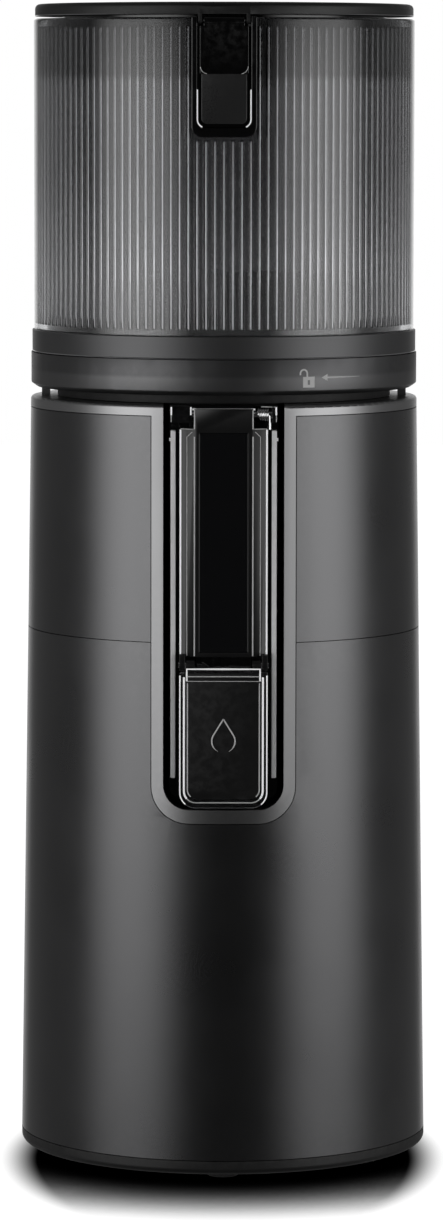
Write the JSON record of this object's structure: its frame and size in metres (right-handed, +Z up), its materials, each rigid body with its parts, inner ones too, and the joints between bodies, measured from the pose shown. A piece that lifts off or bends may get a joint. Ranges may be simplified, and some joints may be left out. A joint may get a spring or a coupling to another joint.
{
  "type": "cold press juicer",
  "caption": "Upright cold press juicer: round charcoal body, lift-out pressing chamber with a front juice cap, and a tall fluted smoke-clear hopper with a hinged, latched lid.",
  "frame": {"origin": "centre of the plane that the rubber feet rest on, on the axis of the round body", "axes": "+Z up along the body's axis, -Y towards the front with the juice cap, +X to the right of someone facing the front"},
  "size_m": [0.151, 0.1655, 0.4246],
  "materials": {
    "satin_charcoal": "satin metallic charcoal housing",
    "satin_bezel": "satin metallic bezel, a little lighter than the housing",
    "gloss_black": "glossy black",
    "soft_black": "matt black",
    "rail_grey": "pale grey",
    "smoke_clear": "smoke-clear fluted",
    "clear_edge": "clear, slightly smoked",
    "rubber_black": "soft black rubber",
    "silicone_grey": "grey silicone",
    "steel": "brushed",
    "bright_steel": "polished",
    "gear_plastic": "natural nylon",
    "gear_steel": "machined",
    "bronze": "sintered bronze",
    "lamination": "varnished steel sheets",
    "magnet": "nickel plated",
    "board_green": "coated circuit board",
    "component_black": "moulded components",
    "auger_plastic": "dense dark plastic"
  },
  "bodies": {
    "base": {"lower_housing": "satin_charcoal", "upper_housing": "satin_charcoal", "chamber_well": "satin_bezel", "base_plate": "soft_black", "foot_ring": "soft_black", "rubber_feet": "rubber_black", "base_screws": "steel", "motor_can": "steel", "motor_stator": "lamination", "motor_end_bell": "soft_black", "motor_bearings": "bright_steel", "motor_dampers": "rubber_black", "gearbox_base": "component_black", "gearbox_cover": "component_black", "gear_pins": "bright_steel", "gearbox_screws": "steel", "output_bearing": "bronze", "shaft_seal": "silicone_grey", "control_board": "board_green", "board_components": "component_black", "rear_panel": "soft_black", "switch_housing": "gloss_black", "power_inlet": "component_black", "pulp_spout": "gloss_black"},
    "rotor": {"motor_rotor": "lamination", "motor_shaft": "bright_steel", "motor_pinion": "gear_steel", "cooling_fan": "component_black"},
    "first_idler": {"first_gear": "gear_plastic"},
    "second_idler": {"second_gear": "gear_steel"},
    "output": {"output_gear": "gear_steel", "drive_shaft": "bright_steel"},
    "rocker": {"power_rocker": "gloss_black"},
    "chamber": {"drum": "gloss_black", "drum_column": "gloss_black", "column_rails": "rail_grey", "drum_seal": "silicone_grey", "strainer": "steel", "cover_pin": "bright_steel", "cover_spring": "bright_steel"},
    "press_screw": {"auger": "auger_plastic", "auger_socket": "steel", "feed_wing": "auger_plastic"},
    "cover": {"channel_cover": "gloss_black", "cover_inlay": "gloss_black", "cap_pins": "bright_steel"},
    "cap": {"cap_shell": "clear_edge", "cap_core": "gloss_black", "cap_seal": "silicone_grey"},
    "hopper": {"hopper_collar": "satin_bezel", "hopper_seal": "silicone_grey", "hopper_wall": "smoke_clear", "hopper_funnel": "gloss_black", "hinge_bracket": "gloss_black", "lid_hinge_pin": "bright_steel", "latch_frame": "gloss_black"},
    "lid": {"hopper_lid": "soft_black", "lid_plug": "gloss_black"},
    "latch": {"lid_latch": "gloss_black", "latch_magnet": "magnet"}
  },
  "joints": [
    {"name": "chamber_lift", "type": "slide", "parent": "base", "child": "chamber", "axis": [0, 0, 1], "range_m": [0, 0.2]},
    {"name": "auger_spin", "type": "hinge", "parent": "chamber", "child": "press_screw", "pos_m": [0, 0, 0.2], "axis": [0, 0, 1], "continuous": true},
    {"name": "hopper_turn", "type": "hinge", "parent": "chamber", "child": "hopper", "pos_m": [0, 0, 0.291], "axis": [0, 0, 1], "range_deg": [-30, 0]},
    {"name": "lid_hinge", "type": "hinge", "parent": "hopper", "child": "lid", "pos_m": [0, 0.075, 0.418], "axis": [-1, 0, 0], "range_deg": [0, 100]},
    {"name": "latch_pull", "type": "hinge", "parent": "lid", "child": "latch", "pos_m": [0, -0.073, 0.4179], "axis": [-1, 0, 0], "range_deg": [0, 25], "stiffness_Nm_per_rad": 0.02, "springref_deg": -11.46},
    {"name": "cover_swing", "type": "hinge", "parent": "chamber", "child": "cover", "pos_m": [0, -0.0675, 0.2772], "axis": [-1, 0, 0], "range_deg": [0, 60], "stiffness_Nm_per_rad": 0.06, "springref_deg": -17.19},
    {"name": "cap_flip", "type": "hinge", "parent": "cover", "child": "cap", "pos_m": [0, -0.071, 0.187], "axis": [-1, 0, 0], "range_deg": [0, 85], "stiffness_Nm_per_rad": 0.01, "springref_deg": -17.19},
    {"name": "output_spin", "type": "hinge", "parent": "base", "child": "output", "pos_m": [0, 0, 0.107], "axis": [0, 0, 1], "continuous": true},
    {"name": "second_idler_spin", "type": "hinge", "parent": "base", "child": "second_idler", "pos_m": [-0.00677, 0.03841, 0.1], "axis": [0, 0, 1], "continuous": true},
    {"name": "first_idler_spin", "type": "hinge", "parent": "base", "child": "first_idler", "pos_m": [-0.02591, 0.01061, 0.09], "axis": [0, 0, 1], "continuous": true},
    {"name": "rotor_spin", "type": "hinge", "parent": "base", "child": "rotor", "pos_m": [0, 0, 0.045], "axis": [0, 0, 1], "continuous": true},
    {"name": "rocker_press", "type": "hinge", "parent": "base", "child": "rocker", "pos_m": [0, 0.0688, 0.049], "axis": [-1, 0, 0], "range_deg": [0, 20]}
  ],
  "couplings": [
    {"joint": "second_idler_spin", "follows": "output_spin", "ratio": -2.7143},
    {"joint": "first_idler_spin", "follows": "output_spin", "ratio": 7.7551},
    {"joint": "rotor_spin", "follows": "output_spin", "ratio": -23.265},
    {"joint": "auger_spin", "follows": "output_spin", "ratio": 1}
  ]
}
